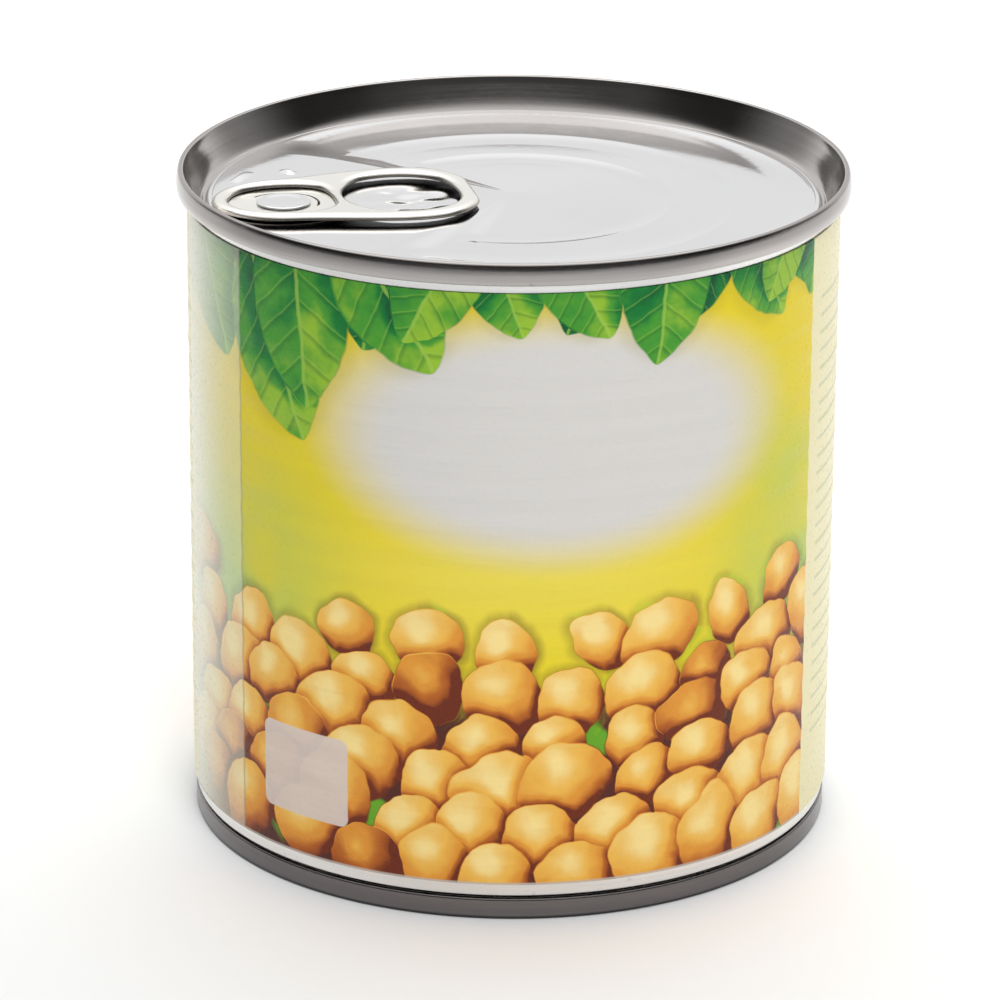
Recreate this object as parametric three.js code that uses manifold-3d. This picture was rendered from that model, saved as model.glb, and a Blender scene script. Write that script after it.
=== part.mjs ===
// A shut food can with an easy-open lid, in millimetres.
// +Z is up, the origin is the centre of the base on the floor, and -Y is the front.
import * as THREE from 'three';
import { mergeVertices } from 'three/addons/utils/BufferGeometryUtils.js';
import Module from 'manifold-3d';

// Driving dimensions of the can
const CAN_HEIGHT = 87.5;
const BODY_RADIUS = 41.9;
const TOP_SEAM_RADIUS = 43.5;
const TOP_SEAM_BOTTOM = 84.7;
const TOP_SEAM_THICKNESS = 1.25;
const TOP_SEAM_ROUND = 0.5;
const BASE_SEAM_RADIUS = 41.9;
const BASE_SEAM_TOP = 3.1;
const BASE_SEAM_THICKNESS = 1.2;
const NECK_RADIUS = 41.0;
const NECK_TOP = 3.4;
const SHOULDER_TOP = 3.8;
const SHEET = 0.3;
const JOIN_GAP = 0.06;
const ROUND_SEGMENTS = 80;

// The paper label
const LABEL_BOTTOM = 4.9;
const LABEL_TOP = 83.4;
const LABEL_THICKNESS = 0.3;

// The lid: its panel, the groove round it and the three stamped rings
const PANEL_Z = 83.5;
const PANEL_RADIUS = 39.4;
const GROOVE_RADIUS = 40.0;
const GROOVE_Z = 82.75;
const LID_UNDERSIDE = 82.3;
const RING_CREASES = [38.5, 28.9, 20.4];
const RING_GAP_HALF_ANGLES = [43, 45, 54];
const RING_DEPTH = 0.35;
const RING_SLOPE = 3.6;
const RING_RETURN = 4.5;
const RING_FADE_ANGLE = 12;

// The base end: its panel stands above the floor inside the seam
const BASE_PANEL_Z = 3.5;
const BASE_GROOVE_Z = 4.2;
const BASE_PANEL_RADIUS = 38.6;
const BASE_RINGS = [[34, 0.25], [24, 0.25]];

// The pull tab, along its own axis u from the nose to the ring end, with v across it
const RIVET_X = -29.4;
const RIVET_Y = -6.4;
const TAB_ANGLE = THREE.MathUtils.degToRad(12.3);
const TAB_RIM_BOTTOM = 83.9;
const TAB_RIM_THICKNESS = 0.95;
const TAB_EDGE_ROUND = 0.42;
const TAB_NOSE = -9.1;
const TAB_TIP = 24.2;
const TAB_NOSE_HALF_WIDTH = 8.4;
const TAB_HALF_WIDTH = 10.7;
const FINGER_HOLE_START = 7.8;
const FINGER_HOLE_END = 22.3;
const FINGER_HOLE_HALF_WIDTH = 8.45;
const WEB_START = -7.1;
const WEB_END = 6.5;
const WEB_HALF_WIDTH = 6.45;
const WEB_BOTTOM = 83.62;
const WEB_TOP = 83.98;
const WEB_OVERLAP = 0.8;
const SLOT_RADIUS = 4.5;
const SLOT_WIDTH = 0.35;
const SLOT_FROM = THREE.MathUtils.degToRad(-27);
const SLOT_TO = THREE.MathUtils.degToRad(136);
const CURL_NOTCH = { u: 20.9, v: -9.9, width: 0.4, length: 2.4, turn: -0.75 };

// The rivet that holds the tab, and the finger well pressed into the panel under its ring
const RIVET_HEAD_RADIUS = 3.5;
const RIVET_HEAD_TOP = 84.35;
const RIVET_SHANK_RADIUS = 2.1;
const RIVET_HOLE_RADIUS = 2.35;
const RIVET_SEGMENTS = 32;
const WELL_U = 17.5;
const WELL_RADIUS = 10;
const WELL_DEPTH = 0.55;

// Two short embossed dashes beside the tab's nose: centre in u and v, length and turn
const DASHES = [
  { u: -4.0, v: 14.0, length: 3.6, turn: 1.0 },
  { u: 3.2, v: 15.1, length: 1.6, turn: -1.1 },
];
const DASH_RADIUS = 0.75;
const DASH_SUNK = 0.3;

const wasm = await Module();
wasm.setup();

const tinplate = new THREE.MeshStandardMaterial({ color: 0x8f8b88, roughness: 0.38, metalness: 1 });
const lidMetal = new THREE.MeshStandardMaterial({ color: 0xc2c2c1, roughness: 0.3, metalness: 1 });
const tabMetal = new THREE.MeshStandardMaterial({ color: 0xdcdbd4, roughness: 0.28, metalness: 1 });
const paper = new THREE.MeshStandardMaterial({ color: 0xebd714, roughness: 0.35, metalness: 0 });

// Solids

function toManifold(geometry) {
  const bare = geometry.clone();
  bare.deleteAttribute('normal');
  bare.deleteAttribute('uv');
  const merged = mergeVertices(bare, 1e-4);
  const triangles = [];
  const index = merged.index.array;
  for (let i = 0; i < index.length; i += 3) {
    const [a, b, c] = [index[i], index[i + 1], index[i + 2]];
    if (a !== b && b !== c && c !== a) triangles.push(a, b, c);
  }
  return new wasm.Manifold(new wasm.Mesh({
    numProp: 3,
    vertProperties: Float32Array.from(merged.attributes.position.array),
    triVerts: Uint32Array.from(triangles),
  }));
}

function toGeometry(solid) {
  const mesh = solid.getMesh();
  const geometry = new THREE.BufferGeometry();
  geometry.setAttribute('position', new THREE.BufferAttribute(Float32Array.from(mesh.vertProperties), 3));
  geometry.setIndex(new THREE.BufferAttribute(Uint32Array.from(mesh.triVerts), 1));
  geometry.computeVertexNormals();
  return geometry;
}

// Turns a profile of [radius, z] pairs round the Z axis.
function lathe(profile, segments = ROUND_SEGMENTS) {
  const points = profile.map(([radius, z]) => new THREE.Vector2(radius, z));
  const geometry = new THREE.LatheGeometry(points, segments);
  geometry.rotateX(Math.PI / 2);
  return geometry;
}

function namedMesh(name, geometry, material) {
  const mesh = new THREE.Mesh(geometry, material);
  mesh.name = name;
  return mesh;
}

// Quarter of a circle in a profile, from one angle to another in degrees.
function arc(radius, z, size, from, to, steps) {
  const points = [];
  for (let i = 0; i <= steps; i += 1) {
    const angle = THREE.MathUtils.degToRad(from + ((to - from) * i) / steps);
    points.push([radius + size * Math.cos(angle), z + size * Math.sin(angle)]);
  }
  return points;
}

// Can body

const CHUCK_TOP_OUTSIDE = 41.72;
const CHUCK_TOP_INSIDE = 41.36;
const CHUCK_FOOT_INSIDE = 40.85;
const CHUCK_FOOT_OUTSIDE = 41.45;
const CHUCK_FOOT_Z = 82.7;
const BASE_CHUCK_OUTSIDE = 40.68;

function canBody() {
  const top = LID_UNDERSIDE - 2 * JOIN_GAP;
  const bottom = BASE_GROOVE_Z + SHEET + 2 * JOIN_GAP;
  return lathe([
    [0, bottom],
    [BASE_CHUCK_OUTSIDE + JOIN_GAP, bottom],
    [BASE_CHUCK_OUTSIDE + JOIN_GAP, BASE_SEAM_TOP + JOIN_GAP],
    [NECK_RADIUS, BASE_SEAM_TOP + JOIN_GAP],
    [NECK_RADIUS, NECK_TOP],
    [BODY_RADIUS, SHOULDER_TOP],
    [BODY_RADIUS, TOP_SEAM_BOTTOM - JOIN_GAP],
    [CHUCK_TOP_OUTSIDE + JOIN_GAP, TOP_SEAM_BOTTOM - JOIN_GAP],
    [CHUCK_FOOT_OUTSIDE + JOIN_GAP, CHUCK_FOOT_Z],
    [CHUCK_FOOT_OUTSIDE + JOIN_GAP, top],
    [0, top],
  ]);
}

// Label

function label() {
  const inside = BODY_RADIUS + JOIN_GAP;
  const outside = inside + LABEL_THICKNESS;
  return lathe([
    [inside, LABEL_BOTTOM],
    [outside, LABEL_BOTTOM],
    [outside, LABEL_TOP],
    [inside, LABEL_TOP],
    [inside, LABEL_BOTTOM],
  ]);
}

// Base end

function baseEnd() {
  const foot = BASE_SEAM_THICKNESS / 2 - 0.2;
  const middle = BASE_SEAM_RADIUS - BASE_SEAM_THICKNESS / 2;
  const rings = BASE_RINGS.flatMap(([radius, step], i) => [
    [radius + 0.8, BASE_PANEL_Z + i * step],
    [radius - 0.8, BASE_PANEL_Z + (i + 1) * step],
  ]);
  const centreZ = BASE_PANEL_Z + BASE_RINGS.reduce((sum, [, step]) => sum + step, 0);
  const inside = BASE_CHUCK_OUTSIDE - SHEET;
  return lathe([
    [0, centreZ],
    ...rings.reverse(),
    [BASE_PANEL_RADIUS, BASE_PANEL_Z],
    [BASE_PANEL_RADIUS + 0.6, BASE_GROOVE_Z],
    [inside - 0.4, BASE_GROOVE_Z],
    [inside, BASE_GROOVE_Z - 0.5],
    ...arc(middle - 0.2, foot, foot, 180, 270, 3),
    ...arc(middle + 0.2, foot, foot, 270, 360, 3),
    ...arc(BASE_SEAM_RADIUS - 0.3, BASE_SEAM_TOP - 0.3, 0.3, 0, 90, 2),
    [BASE_CHUCK_OUTSIDE, BASE_SEAM_TOP],
    [BASE_CHUCK_OUTSIDE, BASE_GROOVE_Z + SHEET],
    [0, BASE_GROOVE_Z + SHEET],
  ]);
}

// Lid

// 1 where a ring is pressed at full depth, falling to 0 in the gap that it leaves for the tab.
function ringStrength(x, y, gapHalfAngle) {
  const tabSide = Math.atan2(RIVET_Y, RIVET_X);
  const away = Math.abs(THREE.MathUtils.euclideanModulo(Math.atan2(y, x) - tabSide + Math.PI, 2 * Math.PI) - Math.PI);
  return THREE.MathUtils.smoothstep(THREE.MathUtils.radToDeg(away), gapHalfAngle, gapHalfAngle + RING_FADE_ANGLE);
}

// Inwards from its crease each ring slopes down, and from there the panel rises slowly back.
function ringDepth(r, crease) {
  const inwards = crease - r;
  if (inwards <= 0 || inwards >= RING_SLOPE + RING_RETURN) return 0;
  if (inwards < RING_SLOPE) return RING_DEPTH * inwards / RING_SLOPE;
  return RING_DEPTH * (1 - (inwards - RING_SLOPE) / RING_RETURN);
}

function panelRelief(x, y) {
  const r = Math.hypot(x, y);
  let relief = 0;
  RING_CREASES.forEach((crease, i) => {
    relief -= ringDepth(r, crease) * ringStrength(x, y, RING_GAP_HALF_ANGLES[i]);
  });
  const wellX = RIVET_X + WELL_U * Math.cos(TAB_ANGLE);
  const wellY = RIVET_Y + WELL_U * Math.sin(TAB_ANGLE);
  const fromWell = Math.min(1, Math.hypot(x - wellX, y - wellY) / WELL_RADIUS);
  return relief - WELL_DEPTH * (1 - fromWell ** 2) ** 2;
}

function lidSheet() {
  const seamInside = TOP_SEAM_RADIUS - TOP_SEAM_THICKNESS;
  const crownZ = CAN_HEIGHT - TOP_SEAM_ROUND;
  const ringPoints = RING_CREASES.flatMap((crease) => [
    crease,
    crease - RING_SLOPE / 2,
    crease - RING_SLOPE,
    crease - RING_SLOPE - RING_RETURN,
  ]);
  const panel = [PANEL_RADIUS - 0.2, ...ringPoints, 5].map((radius) => [radius, PANEL_Z]);
  const geometry = lathe([
    [0, LID_UNDERSIDE],
    [CHUCK_FOOT_OUTSIDE, LID_UNDERSIDE],
    [CHUCK_FOOT_OUTSIDE, CHUCK_FOOT_Z],
    [CHUCK_TOP_OUTSIDE, TOP_SEAM_BOTTOM],
    [TOP_SEAM_RADIUS - 0.25, TOP_SEAM_BOTTOM],
    [TOP_SEAM_RADIUS, TOP_SEAM_BOTTOM + 0.3],
    ...arc(TOP_SEAM_RADIUS - TOP_SEAM_ROUND, crownZ, TOP_SEAM_ROUND, 0, 90, 3),
    ...arc(seamInside + TOP_SEAM_ROUND, crownZ, TOP_SEAM_ROUND, 90, 180, 3),
    [CHUCK_TOP_INSIDE, TOP_SEAM_BOTTOM],
    [CHUCK_FOOT_INSIDE, GROOVE_Z + 0.75],
    [GROOVE_RADIUS + 0.4, GROOVE_Z + 0.15],
    [GROOVE_RADIUS, GROOVE_Z],
    [GROOVE_RADIUS - 0.3, GROOVE_Z],
    [PANEL_RADIUS, PANEL_Z - 0.1],
    ...panel,
    [0, PANEL_Z],
  ]);
  const position = geometry.attributes.position;
  for (let i = 0; i < position.count; i += 1) {
    if (Math.abs(position.getZ(i) - PANEL_Z) < 1e-3) {
      position.setZ(i, PANEL_Z + panelRelief(position.getX(i), position.getY(i)));
    }
  }
  return geometry;
}

function rivet() {
  const underHead = WEB_TOP + JOIN_GAP;
  const geometry = lathe([
    [0, PANEL_Z - 0.5],
    [RIVET_SHANK_RADIUS, PANEL_Z - 0.5],
    [RIVET_SHANK_RADIUS, underHead],
    [RIVET_HEAD_RADIUS, underHead],
    [RIVET_HEAD_RADIUS, RIVET_HEAD_TOP - 0.12],
    [RIVET_HEAD_RADIUS - 0.25, RIVET_HEAD_TOP],
    [RIVET_HEAD_RADIUS - 0.9, RIVET_HEAD_TOP],
    [RIVET_HEAD_RADIUS - 1.4, RIVET_HEAD_TOP - 0.12],
    [0, RIVET_HEAD_TOP - 0.12],
  ], RIVET_SEGMENTS);
  return geometry.translate(RIVET_X, RIVET_Y, 0);
}

function dash({ u, v, length, turn }) {
  const geometry = new THREE.CapsuleGeometry(DASH_RADIUS, length, 3, 10);
  geometry.rotateZ(turn - Math.PI / 2);
  geometry.translate(u, v, 0);
  geometry.rotateZ(TAB_ANGLE);
  return geometry.translate(RIVET_X, RIVET_Y, PANEL_Z - DASH_SUNK);
}

function lid() {
  const pieces = [rivet(), ...DASHES.map(dash)].map(toManifold);
  return toGeometry(pieces.reduce((solid, piece) => solid.add(piece), toManifold(lidSheet())));
}

// Pull tab

// A closed outline, counterclockwise, from the points of its upper half mirrored in v = 0.
function mirrored(halfPath, divisions) {
  const upper = halfPath.getPoints(divisions);
  const lower = upper.slice(1, -1).reverse().map(({ x, y }) => new THREE.Vector2(x, -y));
  return [...upper, ...lower].reverse();
}

function tabOutline() {
  const half = new THREE.Path();
  half.moveTo(TAB_NOSE, 0);
  half.bezierCurveTo(TAB_NOSE, 4.4, -5.6, 7.9, 0, TAB_NOSE_HALF_WIDTH);
  half.bezierCurveTo(4.5, 8.8, 8.5, 10.2, 14, TAB_HALF_WIDTH);
  half.bezierCurveTo(18, 11.0, 20.7, 10.0, 22.3, 7.9);
  half.bezierCurveTo(23.8, 6.0, TAB_TIP, 4.9, TAB_TIP, 3.2);
  half.lineTo(TAB_TIP, 0);
  return mirrored(half, 7);
}

function fingerHole() {
  const half = new THREE.Path();
  half.moveTo(FINGER_HOLE_START, 0);
  half.bezierCurveTo(FINGER_HOLE_START, 3.6, 9.4, 8.1, 15, FINGER_HOLE_HALF_WIDTH);
  half.bezierCurveTo(19.4, 8.6, FINGER_HOLE_END, 5.6, FINGER_HOLE_END, 0);
  return mirrored(half, 10);
}

function webOutline(margin) {
  const start = WEB_START - margin;
  const end = WEB_END + margin;
  const width = WEB_HALF_WIDTH + margin;
  const half = new THREE.Path();
  half.moveTo(start, 0);
  half.bezierCurveTo(start, 3.6 + margin / 2, -4.2, width, 0, width);
  half.bezierCurveTo(4.4 + margin / 2, width, end, width - 1.4, end, 0);
  return mirrored(half, 10);
}

function slotOutline() {
  const slot = new THREE.Path();
  slot.absarc(0, 0, SLOT_RADIUS + SLOT_WIDTH / 2, SLOT_FROM, SLOT_TO, false);
  slot.absarc(0, 0, SLOT_RADIUS - SLOT_WIDTH / 2, SLOT_TO, SLOT_FROM, true);
  slot.closePath();
  return slot;
}

function tabRim() {
  const shape = new THREE.Shape(tabOutline());
  shape.holes.push(new THREE.Path(fingerHole()), new THREE.Path(webOutline(0)));
  const geometry = new THREE.ExtrudeGeometry(shape, {
    depth: TAB_RIM_THICKNESS - 2 * TAB_EDGE_ROUND,
    bevelEnabled: true,
    bevelThickness: TAB_EDGE_ROUND,
    bevelSize: TAB_EDGE_ROUND,
    bevelOffset: -TAB_EDGE_ROUND,
    bevelSegments: 2,
    curveSegments: 8,
  });
  return geometry.translate(0, 0, TAB_RIM_BOTTOM + TAB_EDGE_ROUND);
}

function tabWeb() {
  const shape = new THREE.Shape(webOutline(WEB_OVERLAP));
  const rivetHole = new THREE.Path();
  rivetHole.absarc(0, 0, RIVET_HOLE_RADIUS, 0, 2 * Math.PI, false);
  shape.holes.push(rivetHole, slotOutline());
  const geometry = new THREE.ExtrudeGeometry(shape, {
    depth: WEB_TOP - WEB_BOTTOM,
    bevelEnabled: false,
    curveSegments: 8,
  });
  return geometry.translate(0, 0, WEB_BOTTOM);
}

function curlNotch() {
  const geometry = new THREE.BoxGeometry(CURL_NOTCH.width, CURL_NOTCH.length, 2);
  geometry.rotateZ(CURL_NOTCH.turn);
  return geometry.translate(CURL_NOTCH.u, CURL_NOTCH.v, TAB_RIM_BOTTOM + TAB_RIM_THICKNESS);
}

function pullTab() {
  const solid = toManifold(tabRim()).add(toManifold(tabWeb())).subtract(toManifold(curlNotch()));
  const mesh = namedMesh('pull_tab', toGeometry(solid), tabMetal);
  mesh.rotation.z = TAB_ANGLE;
  mesh.position.set(RIVET_X, RIVET_Y, 0);
  return mesh;
}

const can = new THREE.Group();
can.add(namedMesh('can_body', canBody(), tinplate));
can.add(namedMesh('label', label(), paper));
can.add(namedMesh('base_end', baseEnd(), tinplate));
can.add(namedMesh('lid', lid(), lidMetal));
can.add(pullTab());

export default can;
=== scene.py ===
"""Dresses the shut food can: smooth stamped metal, the pull tab and the printed paper label.

Metres throughout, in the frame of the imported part: +Z is up and -Y is the front.
Profiles and prints are worked out in millimetres and scaled by MM when a mesh is made.
"""
import math
import random

import bmesh
import bpy
import numpy
from mathutils import Matrix, Vector


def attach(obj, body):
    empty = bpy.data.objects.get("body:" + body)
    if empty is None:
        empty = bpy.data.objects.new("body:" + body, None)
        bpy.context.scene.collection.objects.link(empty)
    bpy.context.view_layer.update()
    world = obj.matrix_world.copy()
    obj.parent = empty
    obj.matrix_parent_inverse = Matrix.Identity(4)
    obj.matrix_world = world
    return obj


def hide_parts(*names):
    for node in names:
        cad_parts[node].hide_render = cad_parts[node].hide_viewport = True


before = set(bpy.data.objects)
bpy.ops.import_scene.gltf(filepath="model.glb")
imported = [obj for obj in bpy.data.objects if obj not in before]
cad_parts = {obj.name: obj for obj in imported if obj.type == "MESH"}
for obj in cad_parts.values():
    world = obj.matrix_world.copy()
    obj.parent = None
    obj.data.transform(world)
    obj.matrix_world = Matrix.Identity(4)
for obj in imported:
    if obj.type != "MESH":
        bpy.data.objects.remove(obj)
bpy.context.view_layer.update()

MM = 0.001

# Camera, from the ellipses of the rims in the photograph
CAMERA_PLACE = (0.0, -0.661391, 0.282089)
CAMERA_RIGHT = (0.99997128, 0.00451632, 0.00608546)
CAMERA_UP = (-0.00726294, 0.34191851, 0.93970154)
CAMERA_FORWARD = (-0.00216327, 0.93971875, -0.34194149)
CAMERA_LENS = 192.42
SENSOR_WIDTH = 36.0

# Sizes of the can, in millimetres
CAN_HEIGHT = 87.5
BODY_RADIUS = 41.9
TOP_SEAM_RADIUS = 43.5
TOP_SEAM_BOTTOM = 84.7
TOP_SEAM_THICKNESS = 1.25
BASE_SEAM_RADIUS = 41.9
BASE_SEAM_TOP = 2.8
NECK_RADIUS = 41.0
NECK_TOP = 3.02
SHOULDER_TOP = 3.2
SHOULDER_EASE = 1.2
SEAM_GAP_LOW = 0.06
SEAM_GAP_HIGH = 0.04
WALL_FLOOR = 4.65
WALL_FLOOR_RADIUS = 40.74
WALL_CEILING = 82.18
WALL_CEILING_RADIUS = 41.51
WALL_TOP_INSIDE = 41.78

# Lid
PANEL_Z = 83.5
PANEL_RADIUS = 39.4
GROOVE_RADIUS = 40.0
CHUCK_FOOT_INSIDE = 40.75
GROOVE_Z = 82.75
LID_UNDERSIDE = 82.3
LID_UNDERSIDE_RADIUS = 41.45
CHUCK_CLEAR_Z = 82.7
CHUCK_OUTSIDE = 41.72
RING_CREASES = (38.15, 28.9, 20.4)
RING_DEPTHS = (0.42, 0.30, 0.36)
RING_GAP_HALF_ANGLES = (43, 45, 54)
RING_SLOPES = (3.6, 4.2, 3.6)
RING_END = 0.8
RING_FADE_ANGLE = 12
CREASE_ROUND = 0.12
SCORE_RADIUS = 38.95
SCORE_DEPTH = 0.035
SCORE_HALF_WIDTH = 0.16

# Base end
BASE_PANEL_Z = 3.5
BASE_PANEL_RADIUS = 38.6
BASE_GROOVE_Z = 4.2
BASE_RINGS = ((34.0, 0.25), (24.0, 0.25))
BASE_RING_HALF_WIDTH = 0.8
BASE_WALL_INSIDE = 40.38
BASE_FOOT_INSIDE = 40.72
BASE_TOP_RADIUS = 40.69
BASE_TOP_Z = 4.5

# Pull tab, in its own axes: u from the nose to the ring end, v across
RIVET_X = -29.4
RIVET_Y = -6.4
TAB_ANGLE = math.radians(12.3)
TAB_TOP = 84.85
TAB_BOTTOM = 83.9
TAB_CURL_WIDTH = 1.15
TAB_EDGE_SHARE = 0.35
TAB_GRAIN = 0.13
SMOOTH_ROUNDS = 6
WEB_TOP = 83.98
WEB_BOTTOM = 83.66
WEB_UNDER_RIM = 1.13
WEB_ROUND = 0.06
TAB_ROUND = 0.44
SLOT_ANGLES = (math.radians(-27), math.radians(136))
SLOT_RADIUS = 4.5
SLOT_WIDTH = 0.28
RIVET_NECK_RADIUS = 2.1
RIVET_HOLE_RADIUS = 2.3
RIVET_HEAD_RADIUS = 3.5
RIVET_HEAD_TOP = 84.32
WELL_U = 17.5
WELL_RADIUS = 10.0
WELL_DEPTH = 0.55
WELL_FOLDS = ((1.15, 0.5, 0.07), (0.5, -1.5, 0.05))
DASHES = ((-3.1, 14.0, 2.8, 1.0), (3.2, 15.1, 1.5, -1.1))
DASH_HALF_WIDTH = 0.95
DASH_HEIGHT = 0.36

# Label
LABEL_BOTTOM = 4.9
LABEL_TOP = 83.4
LABEL_INSIDE = 41.96
LABEL_OUTSIDE = 42.22
LABEL_SEAM_ARC = -40.0
BEAD_PITCH = 4.0
BEAD_HEIGHT = 0.045
PRINT_PERIOD = math.pi * LABEL_OUTSIDE
FRONT_START = -58.0
FRONT_END = 47.2
LEAF_ZONE_LOW = 54.0
PEA_ZONE_HIGH = 48.0
PEA_ZONE_EDGES = (FRONT_START, -47.0, -36.0, -24.0, -12.0, 0.0, 12.0, 24.0, 36.0, FRONT_END)
PEA_ZONE_LEVELS = (0.0, 17.0, 31.0, PEA_ZONE_HIGH)
LEAF_ZONE_EDGES = (FRONT_START, -46.0, -34.0, -20.0, -4.0, 14.0, 30.0, FRONT_END)
PEA_ROWS = (
    (36.5, 10.4, 4.8), (30.0, 9.4, 5.0), (24.0, 9.6, 5.1),
    (18.0, 9.2, 5.2), (12.0, 9.5, 5.3), (6.0, 9.3, 5.4),
)
PEA_ROW_START = -52.0
PEAS_IN_ROW = 12
PEA_SEED = 11
LEAF_SEED = 3
PEA_REACH = 8.0
PANEL_PLACE = (-28.4, 16.2)
PANEL_HALF_SIZE = (7.0, 6.0)
PANEL_ROUND = 1.2
PEA_WOBBLE = 2.6
LEAF_WOBBLE = 1.0
RULES_PER_MM = 0.42
OVAL_PLACE = (6.0, 64.5)
OVAL_HALF_SIZE = (29.5, 15.5)

# Colours as they look on a screen, and the steps of light between the tones
PEA_DARK = (112, 46, 24)
PEA_TONES = (
    ((-0.75, -0.35), (184, 98, 34)), ((-0.42, -0.05), (228, 152, 56)),
    ((-0.04, 0.38), (243, 188, 82)), ((0.32, 0.92), (253, 226, 150)),
)
PEA_GAP = (86, 42, 34)
PEA_GAP_GREEN = (104, 168, 40)
LEAF_DARK = (0, 78, 44)
LEAF_TONES = (((-0.5, 0.15), (14, 122, 50)), ((0.05, 0.55), (72, 154, 48)), ((0.5, 1.0), (150, 192, 52)))
LEAF_DARK_VEIN = (6, 84, 40)
LEAF_VEIN = (160, 200, 80)
LEAF_SHADE = (150, 140, 20)
FIELD_LOW = (236, 214, 34)
FIELD_HIGH = (233, 210, 30)
FIELD_PALE = (240, 224, 110)
FIELD_GREEN = (170, 204, 104)
OVAL_GREY = (218, 215, 211)
FADED_PRINT = (246, 246, 226)
OVERLAP_SHADOW = (120, 120, 100)
BARE_PANEL = (222, 207, 197)
LOWER_EDGE_SHADOW = (196, 188, 178)
SIDE_CREAM = (238, 229, 182)
SIDE_RULE = (120, 150, 110)

# Lamps: place, target, size, power, and whether a shiny surface shows them
LAMPS = {
    "overhead": ((0.0, 0.25, 1.2), (0, 0, 0), 1.6, 7.6, True),
    "front": ((0.2, -0.85, 0.75), (0, 0, 0.04), 0.5, 5.25, False),
}
# The floor's painted shade towards the front and left of the can, and its lit colour further back
FLOOR_SHADED = (0.71, 0.72, 0.73)
FLOOR_FAR = (1.0, 1.0, 1.0)

FLOOR_HALF = 3000
ROUND_SEGMENTS = 256
LID_SEGMENTS = 512
LABEL_ROWS = 150
LABEL_COLUMNS = 320

# So small a share of a vector that adding it moves nothing
WAIT_SCALE = 1e-7


def smoothstep(low, high, value):
    t = min(1.0, max(0.0, (value - low) / (high - low)))
    return t * t * (3 - 2 * t)


# Meshes

def paint(piece, material, chosen):
    """Gives another material to the faces that a test of their centre in millimetres and normal picks."""
    piece.data.materials.append(material)
    index = len(piece.data.materials) - 1
    for polygon in piece.data.polygons:
        if chosen(polygon.center / MM, polygon.normal):
            polygon.material_index = index


def new_object(name, vertices, faces, material, sharp_angle=40):
    mesh = bpy.data.meshes.new(name)
    mesh.from_pydata([[c * MM for c in v] for v in vertices], [], faces)
    mesh.update()
    mesh.shade_smooth()
    mesh.set_sharp_from_angle(angle=math.radians(sharp_angle))
    mesh.materials.append(material)
    piece = bpy.data.objects.new(name, mesh)
    bpy.context.scene.collection.objects.link(piece)
    return piece


def rounded(corners, steps=5):
    """A profile of (radius, z, rounding) corners, each corner turned into a short curve."""
    points = []
    last = len(corners) - 1
    for i, (r, z, rounding) in enumerate(corners):
        if rounding == 0 or i in (0, last):
            points.append((r, z))
            continue
        here = Vector((r, z))
        before = Vector(corners[i - 1][:2]) - here
        after = Vector(corners[i + 1][:2]) - here
        start = here + before.normalized() * min(rounding, before.length * 0.5)
        end = here + after.normalized() * min(rounding, after.length * 0.5)
        for k in range(steps + 1):
            t = k / steps
            point = start * (1 - t) ** 2 + here * 2 * t * (1 - t) + end * t ** 2
            points.append((point.x, point.y))
    return points


def spin(name, profile, segments, material, relief=None, sharp_angle=40):
    """Turns a profile round Z. It starts and ends on the axis, or closes on itself."""
    open_ends = profile[0][0] == 0
    rings = profile[1:-1] if open_ends else profile[:-1]
    turns = [(math.cos(a), math.sin(a)) for a in (2 * math.pi * j / segments for j in range(segments))]
    vertices = []
    for r, z in rings:
        for c, s in turns:
            lift = relief(r * c, r * s, z) if relief else 0.0
            vertices.append((r * c, r * s, z + lift))
    faces = []
    pairs = len(rings) - 1 if open_ends else len(rings)
    for i in range(pairs):
        low = i * segments
        high = ((i + 1) % len(rings)) * segments
        for j in range(segments):
            k = (j + 1) % segments
            faces.append((low + j, low + k, high + k, high + j))
    if open_ends:
        first, final = len(vertices), len(vertices) + 1
        for r, z in (profile[0], profile[-1]):
            vertices.append((0, 0, z + (relief(0, 0, z) if relief else 0.0)))
        top = (len(rings) - 1) * segments
        for j in range(segments):
            k = (j + 1) % segments
            faces.append((first, k, j))
            faces.append((final, top + j, top + k))
    return new_object(name, vertices, faces, material, sharp_angle)


# Shader maths, written as plain expressions

class Value:
    """A number or vector in a material, with operators that add the nodes for it."""

    def __init__(self, tree, socket):
        self.tree = tree
        self.socket = socket

    def maths(self, operation, *others, clamp=False):
        node = self.tree.nodes.new("ShaderNodeMath")
        node.operation = operation
        node.use_clamp = clamp
        for slot, item in zip(node.inputs, (self, *others)):
            connect(self.tree, item, slot)
        return Value(self.tree, node.outputs[0])

    def __add__(self, other):
        return self.maths("ADD", other)

    def __sub__(self, other):
        return self.maths("SUBTRACT", other)

    def __mul__(self, other):
        return self.maths("MULTIPLY", other)

    def __truediv__(self, other):
        return self.maths("DIVIDE", other)

    def power(self, other):
        return self.maths("POWER", other)

    def absolute(self):
        return self.maths("ABSOLUTE")

    def fraction(self):
        return self.maths("FRACT")

    def most(self, other):
        return self.maths("MAXIMUM", other)

    def root(self):
        return self.maths("SQRT")

    def inverse(self):
        node = self.tree.nodes.new("ShaderNodeMath")
        node.operation = "SUBTRACT"
        node.inputs[0].default_value = 1.0
        self.tree.links.new(self.socket, node.inputs[1])
        return Value(self.tree, node.outputs[0])

    def ramp(self, low, high, out_low=0.0, out_high=1.0, smooth=True):
        node = self.tree.nodes.new("ShaderNodeMapRange")
        node.interpolation_type = "SMOOTHSTEP" if smooth else "LINEAR"
        node.clamp = True
        for slot, item in zip(node.inputs, (self, low, high, out_low, out_high)):
            connect(self.tree, item, slot)
        return Value(self.tree, node.outputs[0])


def connect(tree, item, slot):
    if isinstance(item, Value):
        tree.links.new(item.socket, slot)
    else:
        slot.default_value = item


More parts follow.
